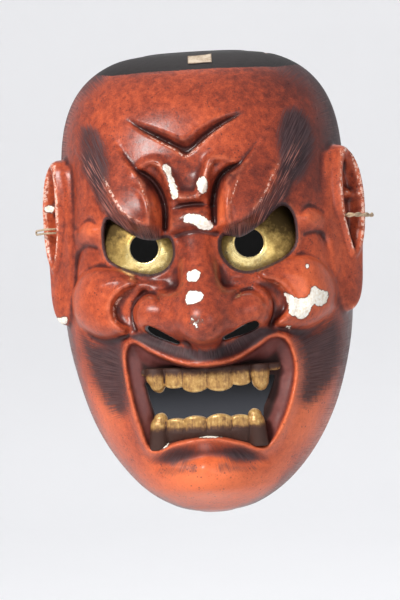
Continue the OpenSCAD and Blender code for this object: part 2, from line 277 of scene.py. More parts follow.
def dome_field(block, kw, kh, deep):
    """Distance to a dome kw as wide, kh as high and deep (x, z) as deep as the face's, with flat ends."""
    s, x = block.step, block.axes[0]
    z = np.clip(block.axes[2], (1.5 - HALF_H) * kh, (HALF_H - 1.5) * kh)
    d = -block.axes[1][None, :, None]
    wide = np.maximum(outline(z / kh) * kw, 0.4)[None, :] * np.where(x < 0, LEFT_SLIM, 1)[:, None]
    across = ((np.abs(x)[:, None] / wide) ** 2.6)[:, None, :]
    thick = np.maximum(middle(z / kh), 0.4)[None, :] * deep * np.ones_like(wide)
    steep = (1 / thick**2)[:, None, :]
    gx, gz = (np.gradient(across, s, axis=k) + np.gradient(steep, s, axis=k) * d**2 for k in (0, 2))
    slope = np.sqrt(gx**2 + gz**2 + (2 * steep * d) ** 2 + 1e-6)
    flat_end = np.abs(block.axes[2]) - (HALF_H - 1.3) * kh
    return soft_max((across + steep * d**2 - 1) / slope, flat_end, 3.5).astype(np.float32)


LEFT_EYE = [
    (-38.2, 28.3), (-40, 21), (-39, 13), (-35.5, 9.2), (-27, 5.3), (-20, 3.8), (-14.5, 5), (-11, 8.3),
    (-9.6, 13), (-11, 18.6), (-17, 18.2), (-23, 19), (-28, 21.8), (-33, 25.6),
]
RIGHT_EYE = [
    (38.5, 30.5), (42, 26.5), (43, 20), (42.3, 13.5), (38.5, 9), (32, 5.6), (23, 3), (16.5, 4.6),
    (12.2, 9.5), (11.2, 14), (12.5, 18.4), (19, 17.6), (25, 20.4), (30, 24), (34, 28.2),
]
LIPS = [
    (-28.5, -25.2), (-20, -30), (-9, -35), (2, -36.6), (14, -35), (23, -30.5), (31, -25.6), (37.5, -28),
    (40.4, -41), (35.2, -60), (26, -73.2), (15, -70.4), (3, -67.6), (-12, -69.4), (-24, -72.4),
    (-28.6, -60), (-32.2, -42), (-32.8, -29.8),
]
MOUTH_HOLE = [
    (-24.6, -43), (-13, -42), (2.5, -42), (18, -42), (28, -42.4), (30.6, -43), (28.4, -49.5), (25.4, -56),
    (23.6, -62), (14, -64.5), (3, -63.5), (-8, -64), (-20, -62.5), (-22.8, -55), (-24.8, -46),
]
FROWN_TOP = [(-27.6, 71.6), (-19, 68.2), (-10.5, 64.6), (-2, 61), (4.3, 65.6), (13.2, 69.7), (23.6, 72.2)]
FROWN_LOW = [(20, 69), (13, 65.2), (4, 58.4), (-1.9, 54.2), (-6.5, 57.2), (-14.1, 61.6), (-21.7, 66.2)]
LEFT_LOBE_OUT = [
    (-53, 66), (-47, 50), (-42.5, 39), (-38.5, 31), (-33, 25.6), (-27, 21), (-22, 18.8), (-17, 18.4),
]
LEFT_LOBE_IN = [
    (-36, 70), (-29, 56), (-22.4, 47.6), (-17.6, 44), (-14, 38.4), (-12.4, 31.6), (-12.4, 24), (-13.6, 18.6),
]
RIGHT_LOBE_OUT = [(54, 68), (47, 52), (42, 41), (38.5, 33.5), (34, 28), (29.5, 23), (24, 19.4), (17.5, 17.4)]
RIGHT_LOBE_IN = [
    (36, 68), (27, 56), (20.4, 48.4), (14.4, 45.2), (10.8, 40.4), (9.2, 33), (9.4, 24.5), (11.4, 18.6),
]

face = Plane(np.arange(-80, 80 + STEP, STEP), np.arange(-108, 108 + STEP, STEP))


def lobe(outer, inner):
    """One horn of the brow: a hairy bevel up from the eye to a crest, then a fall into the fold."""
    g_out, g_in = face.gap(outer, False), face.gap(inner, False)
    inside = face.gap(outer + inner[::-1]) < 0
    height = 9.6 - 9.6 * ease(face.v, 26, 70) ** 0.85
    rise = np.clip(0.2 + 0.8 * g_out / 6, 0, 1) + 0.12 * bell(g_out, 6, 1.3)
    fall = np.clip(g_in / (1.4 + 4.4 * ease(face.v, 47, 36)), 0, 1)
    crest = 0.1 * bell(g_in, 6.4, 1.4) * ease(face.v, 46, 38)
    hairs = np.where(inside, ease(g_out, 7.2, 5.2) * ease(g_in, 0.5, 2), 0) * ease(face.v, 62, 50)
    return np.where(inside, height * (soft_min(rise, 0.04 + 0.96 * fall, 0.12) + crest), 0), hairs


def pad(points, h, edge):
    g = np.clip(-face.gap(points) / edge, 0, 1)
    return h * np.sqrt(1 - (1 - g) ** 2)


# Cuts and creases, as depths
lips_gap = face.gap(LIPS)
eyes_gap = np.minimum(face.gap(LEFT_EYE), face.gap(RIGHT_EYE))
frown_gap = face.gap(FROWN_TOP + FROWN_LOW, steps=4)
frown = ease(-frown_gap, -0.5, 0.7)
folds = face.ridges(
    2.4,
    [(-24, 48.8, 0.8, 1.4), (-18.2, 44.6, 1.6, 4), (-14.2, 38.6, 1.9, 5.4), (-12.4, 31.6, 1.9, 5.4),
     (-12.2, 23.5, 1.5, 4)],
    [(22, 49.4, 0.8, 1.4), (14.8, 45.7, 1.6, 4), (11, 40.6, 1.9, 5.4), (9.2, 33, 1.9, 5.4),
     (9.2, 24.5, 1.5, 4)],
)
lines = face.ridges(
    2,
    [(-9.8, 31, 1, 0.8), (0.3, 32.4, 1.4, 2.2), (9.4, 31, 1, 0.8)],
    [(-9.5, 19, 1.2, 1.2), (0.3, 20.2, 1.6, 2.4), (9.8, 19, 1.2, 1.2)],
    [(46, 27.5, 1, 0.8), (50, 30, 1.5, 1.4), (56, 26.5, 1, 0.7)],
    [(46.5, 17.5, 1, 0.7), (53, 18.4, 1.5, 1.4), (57.2, 12, 1.5, 1.2), (58, 1, 1.1, 0.5)],
    [(-43, 26.5, 1, 0.8), (-47, 29, 1.5, 1.3), (-53, 25.5, 1, 0.6)],
    [(-43.5, 16.5, 1, 0.7), (-50, 17.4, 1.5, 1.3), (-54.5, 11, 1.5, 1.1), (-55.5, 1, 1.1, 0.5)],
    [(23.4, -4.6, 1.3, 2), (29.2, -7.6, 1.5, 2.6), (31.2, -13.6, 1.5, 2.6), (30.4, -20, 1.4, 2)],
    [(-22.6, -3.6, 1.3, 2), (-27, -8, 1.5, 2.6), (-28, -14, 1.5, 2.6), (-27.2, -19.5, 1.4, 2)],
    [(-52, -18, 1.6, 0.5), (-47, -23, 2.2, 1.8), (-40, -25.4, 2.4, 2.2), (-32, -23, 1.8, 1.6)],
    [(55, -18, 1.6, 0.5), (50, -23, 2.2, 1.8), (43, -25.2, 2.4, 2.2), (35, -23, 1.8, 1.6)],
)
curls = face.ridges(
    2,
    [(15.4, -11.4, 0.5, 0.3), (16.4, -8, 0.9, 1.2), (20, -5.6, 1.1, 1.6), (24.6, -5.8, 1.1, 1.6),
     (28.6, -9, 1, 1.2), (30, -14, 0.8, 0.4)],
    [(-15.2, -10.4, 0.5, 0.3), (-15.8, -7.2, 0.9, 1), (-18.8, -4.8, 1.1, 1.3), (-22.8, -5, 1.1, 1.3),
     (-26, -8.6, 1, 1), (-27, -14, 0.8, 0.4)],
)

# Relief over the dome: forehead, brow horns and the pleats between them
frown_depth = 4.6 * frown * np.clip(face.gap(FROWN_TOP, False) / 4, 0.12, 1)
relief = face.swell(-1, 77, 27, 17, 2.6) - frown_depth - folds - lines
left_lobe, left_hairs = lobe(LEFT_LOBE_OUT, LEFT_LOBE_IN)
right_lobe, right_hairs = lobe(RIGHT_LOBE_OUT, RIGHT_LOBE_IN)
relief += np.maximum(left_lobe, right_lobe)
hairy = np.maximum(left_hairs, right_hairs)
relief -= face.swell(-1.5, 46, 8, 5.5, 2.4)
relief += face.ridge([
    (-25, 48, 1.6, 0.8), (-19, 51.5, 1.9, 2), (-14, 51.4, 2.1, 2.8), (-11.2, 47, 2.2, 3.4),
    (-9, 42, 2.3, 3.6), (-7.2, 38, 2.3, 3.6), (-4.4, 36, 2.2, 3), (1.5, 35.8, 2.2, 3), (3.8, 38, 2.3, 3.6),
    (5.2, 42, 2.3, 3.6), (6.8, 47, 2.2, 3.4), (9, 51.4, 2.1, 2.8), (14, 52, 1.9, 2), (22, 48.5, 1.6, 0.8),
], 2.2)
relief += face.ridge([
    (-9.6, 23.8, 3.4, 2.6), (-5, 25.6, 4.4, 4.4), (0.5, 26.4, 4.8, 5), (6, 25.6, 4.4, 4.4),
    (10, 23.8, 3.4, 2.6),
], 2.6)
# Eye sockets, cheeks and the folds from the nose
relief += face.swells([
    (-26, 12, 18, 12, -5.2), (27, 13, 18, 12, -5.2), (50.5, 24.3, 5, 4, 2.2), (-47, 23.3, 5, 4, 2.2),
])
relief += pad([
    (-27, 3), (-34, 6.5), (-44, 8), (-52, 5), (-57, -3), (-57, -12), (-52, -19), (-44, -23), (-36, -22.6),
    (-30.5, -20), (-35.5, -14.5), (-36.5, -8), (-32, -3), (-26, -0.5),
], 6.8, 12)
relief += pad([
    (27, 3), (35, 7), (46, 8.5), (54, 5), (59, -3), (59, -12), (54, -19), (46, -23), (38, -22.6), (33, -20),
    (37.5, -14.5), (38.5, -8), (34, -3), (28, -0.5),
], 6.8, 12)
relief += face.ridge([
    (-15, -1.5, 1.8, 1.2), (-25, -0.6, 2.2, 2.6), (-33, -3, 2.4, 3.2), (-37.8, -9, 2.4, 2.6),
    (-37, -15.5, 2.2, 2.4), (-32.5, -20, 1.9, 2),
], 2)
relief += face.ridge([
    (17, -1.5, 1.8, 1.2), (27, -0.6, 2.2, 2.6), (35, -3, 2.4, 3.2), (39.6, -9, 2.4, 2.6),
    (39, -15.5, 2.2, 2.4), (34.5, -20, 1.9, 2),
], 2)
# Muzzle and chin, the rims of lips and eyes, and the mouth's sloping walls
relief += face.swells([
    (-30.5, -12, 5, 7, -1.8), (34, -12, 4, 7, -1.6), (-44, -37, 11, 15, -4), (49, -37, 11, 15, -4),
    (3, -50, 34, 26, 5.6), (0, -87.5, 21, 11, 6.5), (-1, -79, 3.5, 5, 1),
])
relief -= face.ridge([
    (-22, -78.5, 2.6, 1), (-11, -76.3, 3.2, 2.6), (3, -75, 3.2, 3), (14, -76.6, 3.2, 2.6), (24, -79, 2.6, 1),
], 2)
relief += 1.9 * bell(lips_gap, 0.3, np.where(lips_gap > 0.3, 2.4, 1.2))
relief += bell(eyes_gap, 1.5, 1.3) * ease(face.v, 22, 16)
slope_w = 2.6 + 4.8 * ease(np.abs(face.u - 3), 14, 27) + 2 * ease(face.v, -58, -66)
mouth_slope = np.clip(-lips_gap / slope_w, 0, 1) ** 0.9
relief -= (12.5 - 4.6 * ease(np.abs(face.u - 3), 17, 29)) * mouth_slope
# The relief fades out towards the rim
from_middle = np.clip(np.abs(face.u) / np.maximum(outline(face.v), 1), 0, 1)
dome_depth = middle(face.v) * np.sqrt(1 - from_middle**2.6)
relief *= ease(np.abs(face.v), 104, 90) * ease(dome_depth, 0, 24) ** 0.8

# White ground showing where lacquer is lost: above 0 inside a chip, in mm from its edge
chips = np.full_like(face.u, -9.0)
for loop in (
    [(37, -7), (40, -8.5), (44, -10), (47, -9.5), (49, -6), (50, -5), (53, -7), (55.5, -8), (55, -12),
     (52, -14), (49, -13), (47, -17), (44, -19), (41, -17.5), (39, -16.5), (38.5, -12)],
    [(-3.5, 27.6), (2, 28.2), (8, 24), (7.6, 21.4), (2.6, 21.8), (-0.5, 24.2), (-3.4, 25)],
    [(-11.8, 49.5), (-9.6, 50), (-7.6, 44), (-5.8, 38), (-6.2, 35.4), (-8.8, 36), (-9.4, 42)],
    [(3, 43.4), (6.4, 43.6), (6.6, 38.6), (4.4, 36.6), (2.4, 40)],
    [(-2.6, 3.6), (2.2, 4), (2, 0.2), (-2.4, -0.4)], [(-2.6, -4.8), (3.6, -5.4), (3.2, -8.8), (-3, -9.8)],
    [(-22.5, -70.2), (-18.5, -67.8), (-15.6, -68), (-17, -71), (-21, -72.2)],
    [(-4, -65.6), (1, -64), (7, -65.8), (4, -67.6), (-2, -67.2)],
    [(37, -21.6), (39, -21.8), (38.4, -23.4)], [(46.8, 4.4), (48.4, 4), (47.6, 2.6)],
    [(-70, -14), (-61, -13), (-61.5, -16), (-70, -17.5)],
    [(-68.6, 37), (-65, 36.6), (-66, 34.2), (-69, 34.6)],
    [(32, 103.6), (34.5, 103), (33, 100.6)],
):
    chips = np.maximum(chips, -face.gap(loop, steps=3))
for cx, cz, rx, rz, amount in (
    (1, -17.5, 5.5, 5.5, 1.05), (12.5, 73.6, 4.2, 1.8, 0.85), (3, -67.2, 11, 1.3, 1.2), (0, -3, 3, 7, 0.45),
    (-37.5, -9, 1.6, 8, 0.35), (46, -13, 12, 8, 0.35), (-67, 44, 3, 7, 0.75), (68.5, 36.5, 3, 1.2, 0.9),
    (-9, 44, 3, 9, 0.55), (5, 45, 2, 6, 0.5),
):
    chips = np.maximum(chips, -1.7 + 1.7 * face.swell(cx, cz, rx, rz, amount))
relief -= 0.35 * ease(chips, -0.35, 0.35)

# Worn, lighter edges, and soot-black hair and shadow
wear = face.ridges(
    2,
    [(-42, 54, 0.8, 0.5), (-37.4, 45, 0.9, 1), (-32.4, 35.5, 0.9, 1), (-27.6, 29, 0.8, 0.9),
     (-20.5, 25.4, 0.8, 0.6)],
    [(42, 56, 0.8, 0.3), (36, 45.5, 0.9, 0.8), (30.8, 34.5, 0.9, 0.8), (26, 28.5, 0.8, 0.7)],
    [(-24, 67.4, 0.5, 0.5), (-14.1, 61, 0.6, 1), (-6.5, 56.6, 0.7, 1), (-1.9, 53.4, 0.8, 1),
     (4, 57.8, 0.7, 1), (13, 64.6, 0.6, 0.9), (22, 70.2, 0.5, 0.4)],
)
wear += 0.5 * bell(lips_gap, 0.2, 0.5)
wear += face.ridges(
    2,
    [(-24, 47.4, 0.5, 0.5), (-21.4, 41.4, 0.6, 0.9), (-18.8, 35, 0.6, 0.9), (-17.2, 29, 0.6, 0.6)],
    [(22, 48, 0.5, 0.5), (19.6, 40, 0.6, 0.9), (17.4, 34, 0.6, 0.9), (16, 27.6, 0.6, 0.6)],
    [(-24, -1.6, 0.6, 0.4), (-31.5, -4.2, 0.8, 0.8), (-36.4, -10, 0.9, 1), (-35.6, -16.6, 0.8, 0.8)],
    [(24, -1, 0.7, 0.4), (34, -3, 0.8, 0.8), (38, -8, 0.8, 0.6)],
    [(-18, 51, 0.7, 0.4), (-12.6, 49.6, 0.9, 0.9), (-9, 42, 0.9, 0.9), (-6.6, 36.4, 0.8, 0.8),
     (-1.6, 35.4, 0.8, 0.7), (3.6, 36.4, 0.8, 0.8), (5, 41, 0.9, 0.8), (7.4, 48, 0.9, 0.8),
     (12, 51.6, 0.7, 0.4)],
)

edge_gap = outline(face.v) - np.abs(face.u)
ink = np.zeros_like(face.u)
ink = np.maximum(ink, ease(edge_gap, 14, -1) * ease(face.v, 22, 48) * 0.85)
ink = np.maximum(ink, 0.5 * ease(edge_gap, 12, 0) * ease(face.v, -8, -30))
ink = np.maximum(ink, 0.8 * ease(edge_gap, 28, 4) * ease(face.v, 70, 96) * ease(np.abs(face.u), 22, 42))
for loop, soft, amount in (
    ([(-51, 70), (-43, 71), (-37, 63), (-34.5, 52), (-35, 44), (-41, 39), (-46, 44), (-50, 55)], 6, 0.86),
    ([(37, 52), (37, 64), (41, 73), (50, 72), (54, 58), (50, 44), (43, 39), (38, 42)], 6, 1.0),
    ([(-55, -20), (-46, -23.5), (-36, -23), (-32.5, -28), (-31, -50), (-35, -58), (-44, -54),
      (-52, -40)], 11, 1.15),
    ([(40, -23), (48, -23.5), (59, -19), (61, -34), (56, -48), (46, -57), (40, -54), (42, -40)], 11, 1.25),
    ([(-31, -22.5), (-20, -21), (-9, -27), (3, -29.5), (14, -26.5), (22, -21), (34, -23), (27, -28),
      (14, -33.4), (2, -35), (-9, -33.4), (-21, -28.4)], 3, 1.15),
):
    ink = np.maximum(ink, amount * ease(-face.gap(loop), -soft * 0.6, soft * 0.8))
for line in (
    [(-47, 52, 4, 0.8), (-40.5, 39, 3.4, 0.62), (-35.5, 29.5, 3, 0.55), (-27, 20.8, 3, 0.85),
     (-18, 18.8, 3, 1.1)],
    [(46, 54, 4.5, 0.95), (42, 41, 3.8, 0.72), (37, 31, 3, 0.6), (28.5, 21.6, 3, 0.85), (17, 19, 3, 1.1)],
    [(-24, -77, 2.6, 0.5), (-13, -75.4, 5.2, 1.05), (-3, -73, 3.6, 0.7), (7, -74, 4, 0.8),
     (15, -76, 5.2, 1.1), (25, -78, 2.6, 0.5)],
    [(-20, -82, 3.4, 0.5), (-6, -80.6, 3.2, 0.65)], [(6, -80.6, 3.2, 0.65), (20, -82, 3.4, 0.5)],
):
    ink = np.maximum(ink, face.ridge(line, 2))
ink = np.maximum(ink, 1.05 * ease(np.abs(eyes_gap - 0.2), 1.6, 0.7))
ink *= 1 - 0.8 * ease(-lips_gap, -1.8, 0.4) * ease(lips_gap, -30, -1)
pink = face.swell(-0.5, -71.5, 2.6, 1.8, 1)

# Bright and dark red, partly painted light: painted highlights on the raised cheeks, chin, jaw and the bumps
# by the eyes; painted shade in the pockets and the dish between the brows, under the eyes and beside the nose
# bridge
tone_light_and_shade = face.swells([
    (-44, -5, 15, 15, 0.42), (46, -5, 15, 15, 0.5), (0, -90, 32, 16, 1.1), (-46, -62, 14, 26, 0.62),
    (48, -62, 16, 28, 0.95), (0, 76, 40, 20, 0.05), (50, 25, 6, 4, 0.5), (-46.5, 24, 6, 4, 0.5),
    (-26, 38, 8, 16, -0.1), (24, 38, 8, 16, -0.1), (-30, 2, 15, 6, -0.28), (32, 2, 15, 6, -0.28),
    (0, 20, 9, 14, -0.2), (30, 66, 24, 22, 0.16), (-19, 43, 3.4, 3.4, -0.5), (17, 44, 3.4, 3.4, -0.5),
    (-1.5, 41, 4.5, 4, -0.35),
])
# Painted highlight along the raised lip rim, painted shade in the creases and the frown cut, darker hair
# bevels
tone_light_and_shade += 0.3 * bell(lips_gap, 0.4, 0.9) - 0.06 * (folds + lines) - 0.3 * frown - 0.15 * hairy
# Darker inside the lips; painted shade over the upper right, the side turned from the key light
tone_light_and_shade -= 0.8 * ease(-lips_gap, 0.2, 1.4) + 0.42 * ease(face.v, 18, 60) * ease(face.u, 5, 60)
# Painted light on the lit side wall of each fold beside the nose bridge
tone_light_and_shade += face.ridges(2, [(-15.6, 36, 1.8, 0.35), (-14.6, 30, 2, 0.6), (-14.4, 24, 1.8, 0.5)],
                    [(13.6, 36, 1.8, 0.35), (12.6, 30, 2, 0.6), (12.4, 24, 1.8, 0.5)])
# Darker towards the rim of the lower face and at the chin's lower edge
tone_light_and_shade -= 0.55 * ease(edge_gap, 11, 1) * ease(face.v, 40, 10) + 0.5 * ease(-face.v, 90, 103)
gums = 0.5 * ease(-lips_gap, 0.5, 1.8) + 0.5 * ease(-lips_gap / slope_w, 0.7, 1.1)

# Where brush strokes run: angle times reach, and reach, about a centre for each patch of hair
centre_u, centre_v = np.zeros_like(face.u), np.full_like(face.u, 42.0)
brows = (face.v > 17) & (face.v < 75)
moustache = (face.v < -22) & (face.v > -50) & (np.abs(face.u - 2) < 36)
for where, cu, cv in (
    (face.v < 10, 3, -46), (moustache, 2, 6), (face.v < -66, 0, -56),
    (brows & (face.u > -53) & (face.u < -8), -16, 4), (brows & (face.u < 55) & (face.u > 8), 18, 4),
):
    centre_u, centre_v = np.where(where, cu, centre_u), np.where(where, cv, centre_v)


# ---- The carved shell ----
def chisel_marks(plane, wide, high):
    """Shallow overlapping gouge cuts, from 0 at their ridges to 1 at their middles."""
    near = np.full(plane.u.shape, 9.0)
    shift = CHANCE.uniform(-0.36, 0.36, (60, 60, 2))
    i, j = np.floor(plane.u / wide).astype(int), np.floor(plane.v / high).astype(int)
    for a in (-1, 0, 1):
        for b in (-1, 0, 1):
            p = shift[(i + a) % 60, (j + b) % 60]
            du, dv = i + a + 0.5 + p[..., 0] - plane.u / wide, j + b + 0.5 + p[..., 1] - plane.v / high
            near = np.minimum(near, np.hypot(du, dv))
    return np.clip(1 - (near / 0.75) ** 2, 0, 1)


def ear_leaf(x, d, z, side):
    """Distance to an ear, drawn on the plane from its front edge on the temple to its free edge."""
    leaf = Plane(np.arange(-9, 27, 0.5), z[0, 0])
    shape = leaf.gap([
        (-5, 48), (1, 54.5), (7, 57), (13, 54), (18, 46), (20.5, 35), (20.6, 22), (19.4, 8), (17.6, -4),
        (15, -12), (10, -16.4), (4, -14.5), (-1, -8), (-5, 0), (-6, 20),
    ])
    front = leaf.ridge([
        (10, 55, 1.8, 1.2), (4.5, 52, 2.8, 2.4), (1.8, 42, 3, 3), (2.2, 31, 2.8, 3), (5, 24, 2, 1.6),
    ], 2.4)
    front = np.maximum(front, leaf.ridge([
        (9, 55, 1.6, 1), (15, 50.5, 1.7, 1.7), (18.8, 40, 1.8, 1.8), (19.2, 26, 1.8, 1.6),
        (16.5, 15, 1.8, 1.5), (11.6, 8.6, 1.8, 1.4), (8.4, 14, 1.6, 1.5), (5.4, 23, 1.6, 1.4),
    ], 2.2))
    hollow = leaf.gap([
        (6.8, 49), (11.5, 50), (15.8, 43), (17, 32), (16.2, 21), (12, 11.2), (9.4, 15), (7, 24), (5.8, 34),
        (5.6, 43),
    ])
    front -= 4.4 * ease(-hollow, -0.8, 2.4)
    front += leaf.ridge([(7, 33, 1.6, 1.2), (11, 35.6, 2, 3), (16, 35, 1.8, 2.4)], 2.2)
    front += leaf.swell(9, -4, 8, 9, 1.6)
    front_x, slim = (58.5, 1) if side > 0 else (57.6, 1.24)
    s = ((side * x - front_x) * 0.633 - (d - 29.5) * 0.774) * slim
    n = (side * x - front_x) * 0.774 + (d - 29.5) * 0.633
    thick = soft_max(n - 2.6 - leaf.at(front, s, z), -n - 3.4, 1.5)
    return soft_max(leaf.at(shape, s, z), thick, 3.2)


def pierced(loop):
    """A hole of the drawn shape, straight through from front to back."""
    return lambda x, d, z: Plane(x[:, 0, 0], z[0, 0]).gap(loop)[:, None, :]


def slot(path):
    """A hole straight through along a line (x, z, half width)."""
    def shape(x, d, z):
        gap = 9.0
        for a, b in pairs(smooth(path, 3)):
            t, far = beside(x, z, a, b)
            gap = np.minimum(gap, far - a[2] - t * (b[2] - a[2]))
        return gap
    return shape


def carved_shell():
    """The shell's block, with the distances to its hollow and to the head without its ears."""
    block = Block((-79, -91, -107), (79, 2.4, 107), STEP)
    xs, zs = block.axes[0][:, None], block.axes[2][None, :]
    block.field = dome_field(block, 1, 1, 1) - face.at(relief, xs, zs)[:, None].astype(np.float32)
    head = block.field.copy()

    # Nose: bridge, ball and wings
    bridge = [
        (0.3, 53, 24, 6.8), (0.6, 58.6, 14, 7), (1.2, 63, 6, 7.6), (1.8, 68, -3, 8.6), (2.4, 73, -11, 9.8),
        (2.8, 76.2, -16.8, 10.2),
    ]
    across = [
        (-19, 60.5, -12.6, 8.6), (-9, 66.4, -14.4, 9.4), (2.8, 70, -15, 10), (14, 66.4, -14.4, 9.4),
        (23, 60.5, -12.6, 8.6),
    ]
    block.add(ball_chain(bridge), 7, (-22, -92, -36), (26, -40, 32))
    block.add(ball_chain(across), 6, (-38, -88, -34), (42, -40, 10))
    block.add(egg(-19.6, 61, -13, 7.6, 10.8, 8), 3, (-36, -80, -30), (-4, -40, 4))
    block.add(egg(23.4, 61, -13, 7.6, 10.8, 8), 3, (8, -80, -30), (38, -40, 4))
    block.add(ball_chain([(3, 70, -22.5, 4.5), (2.6, 63, -31, 4.2)]), 5, (-12, -82, -40), (16, -48, -14))
    block.field += face.at(curls, xs, zs)[:, None]
    block.cut(lambda x, d, z: d, 2.2)

    # The hollow, with its gouge marks and a pocket behind the nose
    pocket = 14 * bell(xs, 2, 12) * bell(zs, -14, 16) - 4 * bell(xs, 3, 40) * bell(zs, -52, 22)
    room = dome_field(block, 1 - WALL / HALF_W, 1 - WALL / HALF_H, 1 - (WALL + 1 - pocket) / DEEP)
    inside = Plane(block.axes[0], block.axes[2])
    gouged = 0.6 * chisel_marks(inside, 6.5, 9) * ease(np.abs(inside.v), 95, 82)
    room -= gouged[:, None, :].astype(np.float32)

    for side, low, high in ((-1, -79, -52), (1, 52, 79)):
        block.add(lambda x, d, z: ear_leaf(x, d, z, side), 3, (low, -44, -22), (high, 0, 62))
    block.field = soft_max(block.field, -room, 1.4)

    # Eyes, mouth, nostrils, and a bore for the string through each ear
    for loop, low, high, k in ((LEFT_EYE, -46, -4, 1), (RIGHT_EYE, 4, 49, 1), (MOUTH_HOLE, -32, 40, 1.2)):
        block.cut(pierced(loop), k, (low, -90, -70), (high, -30, 36))
    for path in ([(-21.4, -19.6, 1.4), (-19.2, -21, 1.8), (-14.4, -23.6, 1.4), (-9, -26.4, 0.7)],
                 [(24.4, -20, 1.5), (20.8, -21.4, 1.9), (16.4, -23.2, 1.4), (11, -25.2, 0.7)]):
        block.cut(slot(path), 1.2, (-26, -82, -32), (30, -40, -14))
    for side, low, high in ((-1, -73, -44), (1, 44, 73)):
        bore = [(side * 47, 8.6, CORD_Z, 1.75), (side * 70, 30.9, CORD_Z, 1.75)]
        block.cut(ball_chain(bore), 0.6, (low, -36, 20), (high, -4, 31))
    return block, room, head


def blur(values, reach):
    """A box blur over every axis of a block."""
    for axis in range(values.ndim):
        total = np.cumsum(values, axis=axis, dtype=np.float32)
        wide = np.roll(total, -reach, axis) - np.roll(total, reach + 1, axis)
        values = wide / (2 * reach + 1)
    return values


def grid_at(block, values, points):
    p = (points - [a[0] for a in block.axes]) / block.step
    i = np.clip(p.astype(int), 0, np.array(values.shape) - 2)
    t = np.clip(p - i, 0, 1)
    out = 0
    for a in (0, 1):
        for b in (0, 1):
            for c in (0, 1):
                w = abs(1 - a - t[:, 0]) * abs(1 - b - t[:, 1]) * abs(1 - c - t[:, 2])
                out = out + w * values[i[:, 0] + a, i[:, 1] + b, i[:, 2] + c]
    return out


def make(name, points, faces, marks=None):
    """A smooth-shaded mesh object from points in mm, with named marks on its points."""
    mesh = bpy.data.meshes.new(name)
    mesh.vertices.add(len(points))
    mesh.vertices.foreach_set("co", (np.asarray(points) * MM).ravel())
    sides = faces.shape[1]
    mesh.loops.add(faces.size)
    mesh.loops.foreach_set("vertex_index", faces.ravel().astype(np.int32))
    mesh.polygons.add(len(faces))
    mesh.polygons.foreach_set("loop_start", np.arange(0, faces.size, sides, dtype=np.int32))
    mesh.update(calc_edges=True)
    mesh.polygons.foreach_set("use_smooth", np.ones(len(faces), bool))
    for mark, values in (marks or {}).items():
        values = np.asarray(values, np.float32)
        kind = "FLOAT_VECTOR" if values.ndim == 2 else "FLOAT"
        layer = mesh.attributes.new(mark, kind, "POINT")
        layer.data.foreach_set("vector" if values.ndim == 2 else "value", values.ravel())
    piece = bpy.data.objects.new(name, mesh)
    bpy.context.collection.objects.link(piece)
    return piece


# ---- Materials ----
class Paint:
    """A procedural material, built node by node."""

    def __init__(self, name):
        self.material = bpy.data.materials.new(name)
        self.material.use_nodes = True
        self.tree = self.material.node_tree
        self.shader = self.tree.nodes["Principled BSDF"]
        self.mm = self.vector("SCALE", self.node("TexCoord").outputs["Object"], scale=1000.0)

    def put(self, socket, value):
        if isinstance(value, bpy.types.NodeSocket):
            self.tree.links.new(value, socket)
        elif value is not None:
            socket.default_value = value

    def node(self, kind, **inputs):
        """A new node, with the inputs named set or linked."""
        node = self.tree.nodes.new("ShaderNode" + kind)
        for key, value in inputs.items():
            self.put(node.inputs[key.replace("_", " ")], value)
        return node

    def vector(self, how, a, b=None, scale=None):
        node = self.node("VectorMath")
        node.operation = how
        self.put(node.inputs[0], a)
        self.put(node.inputs[1], b)
        if scale is not None:       # this input exists only for the operation SCALE
            self.put(node.inputs["Scale"], scale)
        return node.outputs[0]

    def math(self, how, a, b=None, clamp=False):
        node = self.node("Math")
        node.operation, node.use_clamp = how, clamp
        self.put(node.inputs[0], a)
        self.put(node.inputs[1], b)
        return node.outputs[0]

    def add(self, a, b):
        return self.math("ADD", a, b)

    def less(self, a, b):
        return self.math("SUBTRACT", a, b)

    def times(self, a, b, clamp=False):
        return self.math("MULTIPLY", a, b, clamp)

    def sway(self, value, noise, amount):
        """The value, pushed up and down by a noise."""
        return self.add(value, self.times(self.less(noise, 0.5), amount))

    def mark(self, name, out="Fac"):
        node = self.node("Attribute")
        node.attribute_name = name
        return node.outputs[out]

    def noise(self, scale, detail=3.0, rough=0.55, where=None):
        node = self.node("TexNoise", Vector=where or self.mm, Scale=scale, Detail=detail, Roughness=rough)
        return node.outputs["Fac"]

    def cells(self, scale):
        return self.node("TexVoronoi", Vector=self.mm, Scale=scale).outputs["Distance"]

    def height(self):
        return self.node("SeparateXYZ", Vector=self.mm).outputs["Z"]

    def ease(self, value, lo, hi, to_lo=0.0, to_hi=1.0):
        node = self.node("MapRange", Value=value, From_Min=lo, From_Max=hi, To_Min=to_lo, To_Max=to_hi)
        node.interpolation_type = "SMOOTHSTEP"
        return node.outputs["Result"]

    def mix(self, share, a, b):
        """Two colours mixed."""
        node = self.node("Mix", Factor=share)
        node.data_type = "RGBA"
        for socket, value in ((node.inputs[6], a), (node.inputs[7], b)):
            self.put(socket, (*value, 1) if isinstance(value, tuple) else value)
        return node.outputs[2]

    def blend(self, share, a, b):
        """Two numbers mixed."""
        node = self.node("Mix", Factor=share)
        self.put(node.inputs[2], a)
        self.put(node.inputs[3], b)
        return node.outputs[0]

    def ramp(self, value, stops):
        node = self.node("ValToRGB", Fac=value)
        while len(node.color_ramp.elements) < len(stops):
            node.color_ramp.elements.new(0.5)
        for element, (place, colour) in zip(node.color_ramp.elements, stops):
            element.position = place
            element.color = (*colour, 1)
        return node.outputs["Color"]

    def finish(self, colour, rough, height=None, depth=0.0002, strength=1.0, **constant):
        self.put(self.shader.inputs["Base Color"], colour)
        self.put(self.shader.inputs["Roughness"], rough)
        for key, value in constant.items():
            self.put(self.shader.inputs[key.replace("_", " ")], value)
        if height is not None:
            bump = self.node("Bump", Strength=strength, Distance=depth, Height=height)
            self.put(self.shader.inputs["Normal"], bump.outputs["Normal"])
        return self.material


